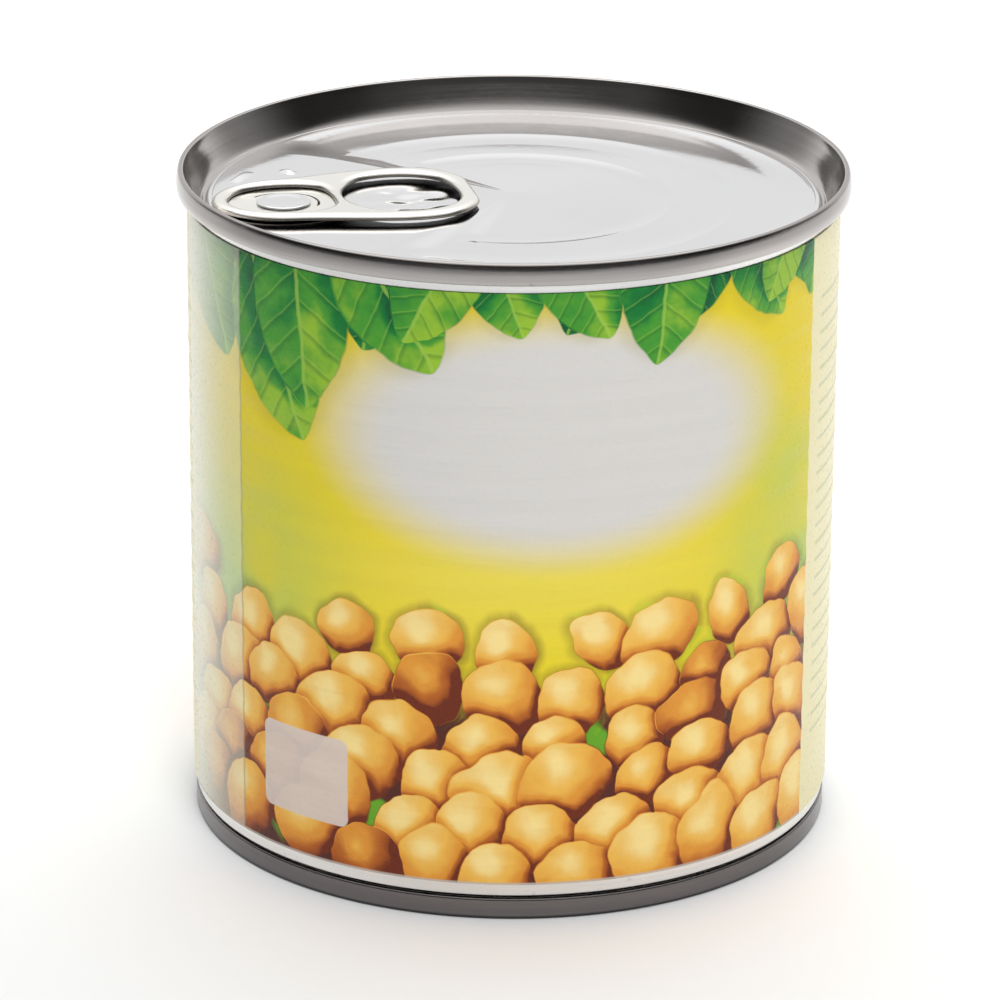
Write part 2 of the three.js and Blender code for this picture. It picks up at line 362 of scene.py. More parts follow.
def separate(vector):
    node = vector.tree.nodes.new("ShaderNodeSeparateXYZ")
    connect(vector.tree, vector, node.inputs[0])
    return [Value(vector.tree, out) for out in node.outputs]


def combine(tree, x, y, z):
    node = tree.nodes.new("ShaderNodeCombineXYZ")
    for slot, item in zip(node.inputs, (x, y, z)):
        connect(tree, item, slot)
    return Value(tree, node.outputs[0])


def vector_maths(operation, first, second=None, scale=None):
    tree = first.tree
    node = tree.nodes.new("ShaderNodeVectorMath")
    node.operation = operation
    connect(tree, first, node.inputs[0])
    if second is not None:
        connect(tree, second, node.inputs[1])
    if scale is not None:
        node.inputs["Scale"].default_value = scale
    out = node.outputs["Value"] if operation in ("LENGTH", "DOT_PRODUCT") else node.outputs["Vector"]
    return Value(tree, out)


def after(place, earlier):
    """The same place, reached only once the earlier value is known, so few values wait at a time."""
    node = place.tree.nodes.new("ShaderNodeVectorMath")
    node.operation = "MULTIPLY_ADD"
    connect(place.tree, earlier, node.inputs[0])
    node.inputs[1].default_value = (WAIT_SCALE, WAIT_SCALE, 0)
    connect(place.tree, place, node.inputs[2])
    return Value(place.tree, node.outputs["Vector"])


def local_axes(place, centre, turn, size):
    """The place seen from a motif's own centre, turn and size."""
    tree = place.tree
    node = tree.nodes.new("ShaderNodeMapping")
    node.vector_type = "TEXTURE"
    connect(tree, place, node.inputs["Vector"])
    node.inputs["Location"].default_value = (*centre, 0)
    node.inputs["Rotation"].default_value = (0, 0, turn)
    node.inputs["Scale"].default_value = (*size, 1)
    return Value(tree, node.outputs[0])


def mix_colour(amount, first, second, blend="MIX"):
    tree = amount.tree
    node = tree.nodes.new("ShaderNodeMix")
    node.data_type = "RGBA"
    node.blend_type = blend
    connect(tree, amount, node.inputs[0])
    for slot, item in ((node.inputs[6], first), (node.inputs[7], second)):
        connect(tree, item if isinstance(item, Value) else (*item, 1.0), slot)
    return Value(tree, node.outputs[2])


def mix_vector(amount, first, second):
    tree = amount.tree
    node = tree.nodes.new("ShaderNodeMix")
    node.data_type = "VECTOR"
    connect(tree, amount, node.inputs[0])
    connect(tree, first, node.inputs[4])
    connect(tree, second, node.inputs[5])
    return Value(tree, node.outputs[1])


def mix_number(amount, first, second):
    tree = amount.tree
    node = tree.nodes.new("ShaderNodeMix")
    node.data_type = "FLOAT"
    connect(tree, amount, node.inputs[0])
    connect(tree, first, node.inputs[2])
    connect(tree, second, node.inputs[3])
    return Value(tree, node.outputs[0])


def noise(tree, place, scale, detail=2.0, roughness=0.5, distortion=0.0):
    node = tree.nodes.new("ShaderNodeTexNoise")
    if place is not None:
        connect(tree, place, node.inputs["Vector"])
    node.inputs["Scale"].default_value = scale
    node.inputs["Detail"].default_value = detail
    node.inputs["Roughness"].default_value = roughness
    node.inputs["Distortion"].default_value = distortion
    return Value(tree, node.outputs["Fac"]), Value(tree, node.outputs["Color"])


def new_material(name):
    material = bpy.data.materials.new(name)
    material.use_nodes = True
    tree = material.node_tree
    shader = tree.nodes["Principled BSDF"]
    return material, tree, shader


def linear(red, green, blue):
    """A colour as it looks on a screen, 0 to 255, in the light-linear values that a shader takes."""
    def channel(c):
        c /= 255
        return c / 12.92 if c <= 0.04045 else ((c + 0.055) / 1.055) ** 2.4
    return tuple(channel(c) for c in (red, green, blue))


def object_place(tree):
    node = tree.nodes.new("ShaderNodeTexCoord")
    return Value(tree, node.outputs["Object"])


def bump(tree, height, strength, distance, normal=None):
    node = tree.nodes.new("ShaderNodeBump")
    node.inputs["Strength"].default_value = strength
    node.inputs["Distance"].default_value = distance
    connect(tree, height, node.inputs["Height"])
    if normal is not None:
        connect(tree, normal, node.inputs["Normal"])
    return Value(tree, node.outputs["Normal"])


# Materials

def sheet_metal(name, colour, roughness, grain=0.04, smudge=0.08, streak=0.0, fleck=0.0, dim=None):
    """Stamped sheet: a little uneven in tone and shine, with drawn streaks round it and dark flecks.

    dim, if given, is a height in millimetres, a higher one and the tone above it: painted shade, darkening
    the colour by height.
    """
    material, tree, shader = new_material(name)
    place = object_place(tree)
    broad, _ = noise(tree, place, 55, 3.0, 0.55)
    fine, _ = noise(tree, place, 900, 3.0, 0.6)
    x, y, z = separate(place)
    around = combine(tree, x * 40, y * 40, z * 2600)
    drawn, _ = noise(tree, around, 1.0, 3.0, 0.6)
    tone = broad.ramp(0.3, 0.7, 1 - smudge, 1.0)
    tone = tone * drawn.ramp(0.35, 0.65, 1 - streak, 1.0)
    specks, _ = noise(tree, place, 420, 2.0, 0.5)
    tone = tone * specks.ramp(0.70, 0.76, 1.0, 1 - fleck)
    # Painted shade: the colour darkens across the given band of heights.
    if dim:
        low, high, level = dim
        tone = tone * z.ramp(low * MM, high * MM, 1.0, level)
    base = mix_colour(tone, tuple(c * 0.2 for c in colour), colour)
    tree.links.new(base.socket, shader.inputs["Base Color"])
    shine = broad.ramp(0.3, 0.7, roughness * 0.85, roughness * 1.2)
    shine = shine + fine * (grain * 0.5)
    tree.links.new(shine.socket, shader.inputs["Roughness"])
    shader.inputs["Metallic"].default_value = 1.0
    height = fine * 0.4 + broad * 1.0 + drawn * streak * 2
    tree.links.new(bump(tree, height, grain * 4, 0.0001).socket, shader.inputs["Normal"])
    return material


# Label print, in millimetres of the label: s along the arc from the front, t as the height

def leaf_list():
    """Leaves that hang from the label's top edge: stem s and t, length, half width, turn in degrees."""
    return [
        (-57.0, 92.0, 19.0, 7.0, -84), (-43.0, 91.0, 21.0, 7.6, -122), (-29.5, 91.0, 19.0, 7.4, -118),
        (-15.0, 91.0, 17.0, 6.4, -104), (-3.0, 91.0, 14.0, 5.4, -72), (12.0, 91.0, 14.0, 5.4, -112),
        (28.0, 91.0, 15.5, 5.8, -122), (42.0, 91.0, 15.0, 5.6, -66), (49.0, 91.0, 15.0, 5.2, -100),
        (-52.0, 87.5, 21.0, 7.8, -64), (-37.5, 84.5, 25.0, 8.4, -68), (-30.0, 90.5, 25.0, 8.4, -84),
        (-21.0, 91.0, 21.5, 7.6, -58), (-6.0, 92.0, 17.5, 6.0, -116), (5.0, 91.0, 15.5, 5.6, -62),
        (20.5, 92.0, 19.0, 6.6, -96), (31.0, 90.0, 16.5, 5.6, -60), (43.5, 92.0, 16.0, 5.2, -118),
    ]


def pea_list():
    """Chickpeas from the back of the heap to its front, in uneven rows of a height, spacing and size."""
    draw = random.Random(PEA_SEED)
    peas = []
    for row, (height, spacing, size) in enumerate(PEA_ROWS):
        start = PEA_ROW_START + (row % 2) * spacing * 0.5
        for column in range(PEAS_IN_ROW):
            s = start + column * spacing + draw.uniform(-1.3, 1.3)
            rise = 3.4 * smoothstep(8, 40, abs(s - 2.0))
            t = height + rise + draw.uniform(-1.5, 1.5)
            half = size * draw.uniform(0.88, 1.12)
            stretch = draw.uniform(0.86, 1.0)
            turn = math.radians(draw.uniform(-180, 180))
            beaked = draw.random() < 0.6
            number = draw.random()
            if row == 0 and draw.random() < 0.25:
                continue
            peas.append(((s, t), (half, half * stretch), turn, beaked, number))
    return peas


def toned(light, darkest, tones):
    """The colour for an amount of light, from the darkest up through tones that each have their step."""
    colour = linear(*darkest)
    for (low, high), tone in tones:
        colour = mix_colour(light.ramp(low, high), colour, linear(*tone))
    return colour


def reaches(centre, reach, zone):
    (s_low, s_high), (t_low, t_high) = zone
    s, t = centre
    return s_low - reach < s < s_high + reach and t_low - reach < t < t_high + reach


def pea_print(place, uneven, zone):
    """Overlaps the peas one on the next and gives the shading of the topmost at each spot."""
    wobble = vector_maths("SCALE", vector_maths("SUBTRACT", uneven, (0.5, 0.5, 0.5)), scale=PEA_WOBBLE)
    flat = vector_maths("MULTIPLY", vector_maths("ADD", place, wobble), (1, 1, 0))
    cover = shade = rim = facing = seed = None
    for centre, size, turn, beaked, number in pea_list():
        if not reaches(centre, PEA_REACH, zone):
            continue
        if facing is not None:
            flat = after(flat, facing)
        local = local_axes(flat, centre, turn, size)
        distance = vector_maths("LENGTH", local)
        if beaked:
            x, _, _ = separate(local)
            point = (x / (distance + 0.001)).most(0.0).power(9.0)
            distance = distance - point * 0.2
        mask = distance.ramp(0.97, 1.02, 1.0, 0.0, smooth=False)
        halo = distance.ramp(0.95, 1.35, 1.0, 0.0)
        offset = vector_maths("SUBTRACT", flat, (*centre, 0))
        offset = vector_maths("SCALE", offset, scale=1 / size[0])
        if cover is None:
            cover, shade, rim = mask, halo * mask.inverse(), distance
            facing, seed = offset, mask * number
            continue
        shade = mix_number(mask, shade.most(halo * 0.75), 0.0)
        cover = cover.most(mask)
        rim = mix_number(mask, rim, distance)
        facing = mix_vector(mask, facing, offset)
        seed = mix_number(mask, seed, number)
    return cover, shade, rim, facing, seed


def pea_colour(place, rim, facing, seed, shade):
    tree = place.tree
    x, y, _ = separate(facing)
    light = x * -0.30 + y * 0.60 + rim.ramp(0.0, 1.15, 0.42, -0.12)
    glint = combine(tree, x + 0.25, y - 0.36, 0.0)
    light = light + vector_maths("LENGTH", glint).ramp(0.0, 0.62, 0.34, 0.0)
    light = light - shade * 0.8 + (seed - 0.5) * 0.3 - seed.ramp(0.10, 0.16, 0.5, 0.0)
    folds, _ = noise(tree, place, 0.38, 2.0, 0.5, 0.5)
    light = light + (folds - 0.5) * 0.34
    return toned(light, PEA_DARK, PEA_TONES)


def leaf_print(place, uneven, zone):
    """Overlaps the leaves, and gives the topmost leaf's own axes at each spot."""
    wobble = vector_maths("SCALE", vector_maths("SUBTRACT", uneven, (0.5, 0.5, 0.5)), scale=LEAF_WOBBLE)
    flat = vector_maths("MULTIPLY", vector_maths("ADD", place, wobble), (1, 1, 0))
    draw = random.Random(LEAF_SEED)
    cover = shade = axes = seed = None
    for s, t, length, half_width, turn in leaf_list():
        number = draw.random()
        way = math.radians(turn)
        middle = (s + length / 2 * math.cos(way), t + length / 2 * math.sin(way))
        if not reaches(middle, length / 2 + half_width, zone):
            continue
        if axes is not None:
            flat = after(flat, axes)
        local = local_axes(flat, (s, t), way, (length, half_width))
        along, across, _ = separate(local)
        rest = along.inverse()
        body = along.most(0.0).power(0.58) * rest.most(0.0).power(0.78) * 2.42 - 0.02
        gap = across.absolute() - body
        mask = gap.ramp(-0.02, 0.03, 1.0, 0.0, smooth=False) * rest.ramp(0.0, 0.01)
        halo = gap.ramp(-0.05, 0.5, 1.0, 0.0) * rest.ramp(-0.05, 0.1)
        if cover is None:
            cover, shade, axes, seed = mask, halo * mask.inverse(), local, mask * number
            continue
        shade = mix_number(mask, shade.most(halo), 0.0)
        cover = cover.most(mask)
        axes = mix_vector(mask, axes, local)
        seed = mix_number(mask, seed, number)
    return cover, shade, axes, seed


def leaf_colour(place, axes, seed, shade):
    tree = place.tree
    along, across, _ = separate(axes)
    side = across.ramp(-0.04, 0.04)
    mottle, _ = noise(tree, place, 0.16, 3.0, 0.55)
    veins = (along * 7.0 - across.absolute() * 1.7).fraction()
    vein = veins.ramp(0.0, 0.07, 1.0, 0.0).most(veins.ramp(0.93, 1.0))
    dark_vein = veins.ramp(0.03, 0.12) * veins.ramp(0.12, 0.35, 1.0, 0.0)
    rib = across.absolute().ramp(0.015, 0.05, 1.0, 0.0)
    light = along * 0.60 + side * 0.30 + (mottle - 0.5) * 1.6 + (seed - 0.4) * 0.6
    light = light - shade * 0.8
    colour = toned(light, LEAF_DARK, LEAF_TONES)
    colour = mix_colour(dark_vein * 0.35, colour, linear(*LEAF_DARK_VEIN))
    return mix_colour((vein * 0.30).most(rib * 0.65), colour, linear(*LEAF_VEIN))


def field_colour(place, s, t):
    """The yellow field, its paler greens, the soft oval and the light fields at both sides."""
    tree = place.tree
    colour = mix_colour(t.ramp(30, 60), linear(*FIELD_LOW), linear(*FIELD_HIGH))
    pale = (s - 4.0).absolute().ramp(6, 40, 1.0, 0.0) * t.ramp(30, 48) * t.ramp(46, 58, 1.0, 0.0)
    colour = mix_colour(pale * 0.5, colour, linear(*FIELD_PALE))
    soft, _ = noise(tree, place, 0.05, 2.0, 0.5)
    left_green = s.ramp(-42, -14, 1.0, 0.0) * t.ramp(36, 68, 1.0, 0.0)
    right_green = s.ramp(22, 44) * t.ramp(40, 80, 1.0, 0.0) * t.ramp(22, 40) * 0.9
    colour = mix_colour((left_green + right_green) * soft.ramp(0.2, 0.6), colour, linear(*FIELD_GREEN))
    across = (s - OVAL_PLACE[0]) / OVAL_HALF_SIZE[0]
    up = (t - OVAL_PLACE[1]) / OVAL_HALF_SIZE[1]
    oval = (across * across + up * up).root()
    return mix_colour(oval.ramp(0.72, 1.22, 1.0, 0.0), colour, linear(*OVAL_GREY))


def finished(colour, s, t):
    """The overlap with the fainter print left of it and a painted shadow along its edge, a bare panel low
    on the left, and a painted shadow line along the lower edge.
    """
    under_overlap = s.ramp(LABEL_SEAM_ARC, LABEL_SEAM_ARC + 0.1, 1.0, 0.0, smooth=False)
    faded = s.ramp(-56, -41, 0.9, 0.35) * under_overlap
    colour = mix_colour(faded, colour, linear(*FADED_PRINT))
    # Painted shadow: a thin dark line along the overlap's edge.
    overlap = (s - LABEL_SEAM_ARC).absolute().ramp(0.05, 0.3, 0.45, 0.0)
    colour = mix_colour(overlap, colour, linear(*OVERLAP_SHADOW))
    across = ((s - PANEL_PLACE[0]).absolute() - PANEL_HALF_SIZE[0] + PANEL_ROUND).most(0.0)
    up = ((t - PANEL_PLACE[1]).absolute() - PANEL_HALF_SIZE[1] + PANEL_ROUND).most(0.0)
    away = (across * across + up * up).root()
    panel = away.ramp(PANEL_ROUND - 0.1, PANEL_ROUND, 0.93, 0.0, smooth=False)
    colour = mix_colour(panel, colour, linear(*BARE_PANEL))
    # Painted shadow: a thin grey line along the label's lower edge.
    lower_edge_shadow = t.ramp(LABEL_BOTTOM + 0.2, LABEL_BOTTOM + 0.4, 0.8, 0.0)
    return mix_colour(lower_edge_shadow, colour, linear(*LOWER_EDGE_SHADOW))


def side_colour(place, s, t):
    """The plain panel between the fronts, with rows of thin grey rules."""
    row = (t * RULES_PER_MM).fraction()
    rows = row.ramp(0.30, 0.36) * row.ramp(0.52, 0.58, 1.0, 0.0)
    rows = rows * s.ramp(50.0, 50.3, smooth=False) * s.ramp(76.0, 76.3, 1.0, 0.0, smooth=False)
    rows = rows * t.ramp(14, 14.3) * t.ramp(76, 76.3, 1.0, 0.0)
    return mix_colour(rows * 0.35, linear(*SIDE_CREAM), linear(*SIDE_RULE))


def label_paper(name, art, zone):
    material, tree, shader = new_material(name)
    node = tree.nodes.new("ShaderNodeAttribute")
    node.attribute_name = "print_place"
    place = Value(tree, node.outputs["Vector"])
    s, t, _ = separate(place)
    if art == "side":
        colour = side_colour(place, s, t)
    else:
        colour = field_colour(place, s, t)
    if art == "peas":
        _, uneven = noise(tree, place, 0.17, 2.0, 0.5)
        cover, shade, rim, facing, seed = pea_print(place, uneven, zone)
        gaps, _ = noise(tree, place, 0.13, 1.0, 0.5)
        dark = mix_colour(gaps.ramp(0.57, 0.64), linear(*PEA_GAP), linear(*PEA_GAP_GREEN))
        deep = (t - shade * 5.0).ramp(23, 31, 1.0, 0.0)
        colour = mix_colour(deep.most(shade * 0.55), colour, dark)
        colour = mix_colour(cover, colour, pea_colour(place, rim, facing, seed, shade))
    if art == "leaves":
        _, uneven = noise(tree, place, 0.25, 2.0, 0.5)
        cover, shade, axes, seed = leaf_print(place, uneven, zone)
        colour = mix_colour(shade * 0.25, colour, linear(*LEAF_SHADE))
        colour = mix_colour(cover, colour, leaf_colour(place, axes, seed, shade))
    if art != "side":
        colour = finished(colour, s, t)
    tree.links.new(colour.socket, shader.inputs["Base Color"])
    fibre, _ = noise(tree, place, 1.6, 3.0, 0.6)
    tree.links.new(fibre.ramp(0.3, 0.7, 0.26, 0.36).socket, shader.inputs["Roughness"])
    shader.inputs["Specular IOR Level"].default_value = 0.2
    waves, _ = noise(tree, combine(tree, s * 0.05, t * 0.5, 0.0), 1.0, 2.0, 0.5)
    tree.links.new(bump(tree, waves + fibre * 0.06, 0.5, 0.0004).socket, shader.inputs["Normal"])
    return material


# Pieces

def can_wall(material):
    low = BASE_SEAM_TOP + SEAM_GAP_LOW
    high = TOP_SEAM_BOTTOM - SEAM_GAP_HIGH
    profile = rounded([
        (0, WALL_FLOOR, 0), (WALL_FLOOR_RADIUS, WALL_FLOOR, 0), (WALL_FLOOR_RADIUS, low, 0),
        (NECK_RADIUS, low, 0.1), (NECK_RADIUS, NECK_TOP, 0.2), (BODY_RADIUS - 0.1, SHOULDER_TOP, 0.3),
        (BODY_RADIUS, SHOULDER_TOP + SHOULDER_EASE, 0.4), (BODY_RADIUS, high, 0.05),
        (WALL_TOP_INSIDE, high, 0), (WALL_CEILING_RADIUS, CHUCK_CLEAR_Z, 0),
        (WALL_CEILING_RADIUS, WALL_CEILING, 0), (0, WALL_CEILING, 0),
    ])
    piece = spin("can_wall", profile, ROUND_SEGMENTS, material)
    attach(piece, "root")
    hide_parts("can_body")


def base_seam(material):
    rings = []
    for i, (radius, step) in enumerate(BASE_RINGS):
        rings.append((radius + BASE_RING_HALF_WIDTH, BASE_PANEL_Z + i * step, 0.6))
        rings.append((radius - BASE_RING_HALF_WIDTH, BASE_PANEL_Z + (i + 1) * step, 0.6))
    centre = BASE_PANEL_Z + sum(step for _, step in BASE_RINGS)
    profile = rounded([
        (0, centre, 0), *reversed(rings), (BASE_PANEL_RADIUS, BASE_PANEL_Z, 0.3),
        (BASE_PANEL_RADIUS + 0.6, BASE_GROOVE_Z, 0.3), (BASE_WALL_INSIDE - 0.4, BASE_GROOVE_Z, 0.3),
        (BASE_WALL_INSIDE, BASE_GROOVE_Z - 0.6, 0.3), (BASE_FOOT_INSIDE, 0.0, 0.4),
        (BASE_SEAM_RADIUS, 0.0, 0.4), (BASE_SEAM_RADIUS, BASE_SEAM_TOP, 0.35),
        (BASE_TOP_RADIUS, BASE_SEAM_TOP, 0), (BASE_TOP_RADIUS, BASE_TOP_Z, 0), (0, BASE_TOP_Z, 0),
    ])
    piece = spin("base_seam", profile, ROUND_SEGMENTS, material)
    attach(piece, "root")
    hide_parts("base_end")


def ring_strength(x, y, gap):
    away = math.atan2(y, x) - math.atan2(RIVET_Y, RIVET_X)
    away = abs((away + math.pi) % (2 * math.pi) - math.pi)
    return smoothstep(gap, gap + RING_FADE_ANGLE, math.degrees(away))


def ring_depth(r, crease, slope):
    """Share of a ring's depth: steepest at its crease, level where the slope ends, then a long rise."""
    inwards = crease - r
    if inwards < 0 or r < RING_END:
        return 0.0
    if inwards < slope:
        eased = inwards if inwards > CREASE_ROUND else inwards * inwards / CREASE_ROUND
        return 1 - (1 - eased / slope) ** 2
    return (r - RING_END) / (crease - slope - RING_END)


def tab_to_can(u, v):
    c, s = math.cos(TAB_ANGLE), math.sin(TAB_ANGLE)
    return RIVET_X + u * c - v * s, RIVET_Y + u * s + v * c


def panel_relief(x, y, z):
    if abs(z - PANEL_Z) > 1e-6:
        return 0.0
    r = math.hypot(x, y)
    height = 0.0
    for crease, depth, slope, gap in zip(RING_CREASES, RING_DEPTHS, RING_SLOPES, RING_GAP_HALF_ANGLES):
        height -= depth * ring_depth(r, crease, slope) * ring_strength(x, y, gap)
    well = Vector(tab_to_can(WELL_U, 0))
    from_well = min(1.0, (Vector((x, y)) - well).length / WELL_RADIUS)
    height -= WELL_DEPTH * (1 - from_well ** 2) ** 2
    for across, along, depth in WELL_FOLDS:
        height -= depth * (1 - from_well ** 2) ** 2 * math.sin(x * across + y * along)
    height -= SCORE_DEPTH * smoothstep(SCORE_HALF_WIDTH, 0.0, abs(r - SCORE_RADIUS))
    return height


def on_seam(centre, normal):
    return math.hypot(centre.x, centre.y) > PANEL_RADIUS and centre.z > LID_UNDERSIDE


# The seam's inward walls and groove, which take a darker copy of the metal as painted shade.
def on_inner_wall(centre, normal):
    radius = math.hypot(centre.x, centre.y)
    inwards = -(normal.x * centre.x + normal.y * centre.y) / max(radius, 1.0)
    return on_seam(centre, normal) and radius < TOP_SEAM_RADIUS - 0.8 and (inwards > 0.3 or centre.z < 84)


def lid_sheet(material, seam_material, wall_shade_material):
    inside = TOP_SEAM_RADIUS - TOP_SEAM_THICKNESS
    score = [SCORE_RADIUS + k * 0.08 for k in (3, 2, 1, 0, -1, -2, -3)]
    panel = [(r, PANEL_Z) for r in score]
    r = SCORE_RADIUS - 0.5
    while r > 0.4:
        panel.append((r, PANEL_Z))
        r -= 0.3
    outer = rounded([
        (0, LID_UNDERSIDE, 0), (LID_UNDERSIDE_RADIUS, LID_UNDERSIDE, 0),
        (LID_UNDERSIDE_RADIUS, CHUCK_CLEAR_Z, 0), (CHUCK_OUTSIDE, TOP_SEAM_BOTTOM, 0),
        (TOP_SEAM_RADIUS - 0.15, TOP_SEAM_BOTTOM, 0.25), (TOP_SEAM_RADIUS, TOP_SEAM_BOTTOM + 0.75, 0.6),
        (TOP_SEAM_RADIUS - 0.1, CAN_HEIGHT - 0.8, 0.7), (TOP_SEAM_RADIUS - 0.3, CAN_HEIGHT, 0.45),
        (inside + 0.35, CAN_HEIGHT, 0.22), (inside + 0.1, CAN_HEIGHT - 0.7, 0.4),
        (CHUCK_FOOT_INSIDE, GROOVE_Z + 0.65, 1.7), (GROOVE_RADIUS, GROOVE_Z, 0.5),
        (GROOVE_RADIUS - 0.3, GROOVE_Z, 0.15), (PANEL_RADIUS, PANEL_Z - 0.001, 0.35),
        (PANEL_RADIUS - 0.1, PANEL_Z - 0.0005, 0),
    ], 6)
    piece = spin("lid_sheet", outer + panel + [(0, PANEL_Z)], LID_SEGMENTS, material, panel_relief)
    paint(piece, seam_material, on_seam)
    # Painted shade: the inward walls and groove take the darker wall copy.
    paint(piece, wall_shade_material, on_inner_wall)
    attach(piece, "root")
    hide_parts("lid")


def dash(name, u, v, half, turn, material):
    """A smooth low bump with rounded ends, embossed in the panel."""
    cx, cy = tab_to_can(u, v)
    turn += TAB_ANGLE
    c, s = math.cos(turn), math.sin(turn)
    rings, steps = 14, 48
    ends = half - DASH_HALF_WIDTH
    vertices = [(cx, cy, PANEL_Z + DASH_HEIGHT)]
    for i in range(1, rings + 1):
        share = i / rings
        height = DASH_HEIGHT * (1 - share ** 2) ** 2 - 0.02 * share
        for j in range(steps):
            angle = 2 * math.pi * j / steps
            stretch = ends * min(1.0, share * 1.2) * max(-1, min(1, 3 * math.cos(angle)))
            along = share * DASH_HALF_WIDTH * math.cos(angle) + stretch
            across = share * DASH_HALF_WIDTH * math.sin(angle)
            vertices.append((cx + along * c - across * s, cy + along * s + across * c, PANEL_Z + height))
    faces = [(0, 1 + j, 1 + (j + 1) % steps) for j in range(steps)]
    for i in range(rings - 1):
        for j in range(steps):
            low, high = 1 + i * steps, 1 + (i + 1) * steps
            k = (j + 1) % steps
            faces.append((low + j, high + j, high + k, low + k))
    piece = new_object(name, vertices, faces, material, 80)
    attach(piece, "root")
    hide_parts("lid")


def rivet(material):
    root = PANEL_Z - 0.4
    under_head = WEB_TOP + 0.05
    profile = rounded([
        (0, root, 0), (RIVET_NECK_RADIUS, root, 0), (RIVET_NECK_RADIUS, under_head, 0),
        (RIVET_HEAD_RADIUS, under_head, 0.1), (RIVET_HEAD_RADIUS, RIVET_HEAD_TOP, 0.25),
        (2.6, RIVET_HEAD_TOP, 0.3), (2.2, RIVET_HEAD_TOP - 0.12, 0.3), (0, RIVET_HEAD_TOP - 0.1, 0),
    ])
    piece = spin("rivet", profile, 96, material)
    piece.data.transform(Matrix.Translation((RIVET_X * MM, RIVET_Y * MM, 0)))
    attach(piece, "root")
    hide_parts("lid")


def bezier_outline(corners, steps):
    """The upper half of an outline from cubic curves, closed by its mirror image in v = 0."""
    upper = [corners[0]]
    for k in range(1, len(corners), 3):
        start, a, b, end = (Vector(p) for p in corners[k - 1:k + 3])
        for i in range(1, steps + 1):
            t = i / steps
            point = start * (1 - t) ** 3 + a * 3 * t * (1 - t) ** 2 + b * 3 * t * t * (1 - t) + end * t ** 3
            upper.append((point.x, point.y))
    lower = [(u, -v) for u, v in upper[-2:0:-1]]
    return upper + lower


TAB_OUTLINE = [
    (-9.3, 0), (-9.3, 4.4), (-5.6, 7.9), (0, 8.4), (4.5, 8.8), (8.5, 10.2), (14, 10.8),
    (18.2, 11.1), (21.0, 10.2), (22.7, 8.1), (24.3, 6.1), (24.8, 4.9), (24.8, 3.2),
    (24.8, 2), (24.8, 1), (24.8, 0),
]
FINGER_HOLE = [(7.8, 0), (7.8, 3.6), (9.4, 8.1), (15, 8.45), (19.6, 8.6), (22.8, 5.6), (22.8, 0)]
WEB_OUTLINE = [(-7.1, 0), (-7.1, 3.6), (-4.2, 6.45), (0, 6.45), (4.4, 6.45), (6.5, 5.05), (6.5, 0)]


def flat_shape(name, outlines, low, high, rounding):
    """A plate's mesh about z = 0 in the tab's axes, with rounded edges, between its outline and holes."""
    curve = bpy.data.curves.new(name, "CURVE")
    curve.dimensions = "2D"
    curve.fill_mode = "BOTH"
    curve.extrude = ((high - low) / 2 - rounding) * MM
    curve.bevel_depth = rounding * MM
    curve.bevel_resolution = 4
    curve.offset = -rounding * MM
    for outline in outlines:
        spline = curve.splines.new("POLY")
        spline.points.add(len(outline) - 1)
        for point, (u, v) in zip(spline.points, outline):
            point.co = (u * MM, v * MM, 0, 1)
        spline.use_cyclic_u = True
    source = bpy.data.objects.new(name, curve)
    bpy.context.scene.collection.objects.link(source)
    graph = bpy.context.evaluated_depsgraph_get()
    mesh = bpy.data.meshes.new_from_object(source.evaluated_get(graph))
    bpy.data.objects.remove(source)
    edit = bmesh.new()
    edit.from_mesh(mesh)
    bmesh.ops.remove_doubles(edit, verts=edit.verts, dist=1e-7)
    edit.to_mesh(mesh)
    edit.free()
    return mesh


def on_tab(name, mesh, low, high, material, sharp_angle):
    """Turns a mesh from the tab's axes into the can's and makes the piece."""
    turn = Matrix.Translation((RIVET_X * MM, RIVET_Y * MM, (low + high) / 2 * MM))
    mesh.transform(turn @ Matrix.Rotation(TAB_ANGLE, 4, "Z"))
    mesh.materials.clear()
    mesh.materials.append(material)
    mesh.shade_smooth()
    if sharp_angle:
        mesh.set_sharp_from_angle(angle=math.radians(sharp_angle))
    piece = bpy.data.objects.new(name, mesh)
    bpy.context.scene.collection.objects.link(piece)
    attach(piece, "root")
    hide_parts("pull_tab")
    return piece


def edge_distance(places, outlines):
    """How far each place in the plane, in millimetres, is from the nearest of the closed outlines."""
    nearest = numpy.full(len(places), 100.0)
    for outline in outlines:
        starts = numpy.array(outline)
        for start, end in zip(starts, numpy.roll(starts, -1, axis=0)):
            way = end - start
            share = numpy.clip((places - start) @ way / max(way @ way, 1e-9), 0, 1)
            away = places - start - share[:, None] * way
            nearest = numpy.minimum(nearest, numpy.hypot(away[:, 0], away[:, 1]))
    return nearest


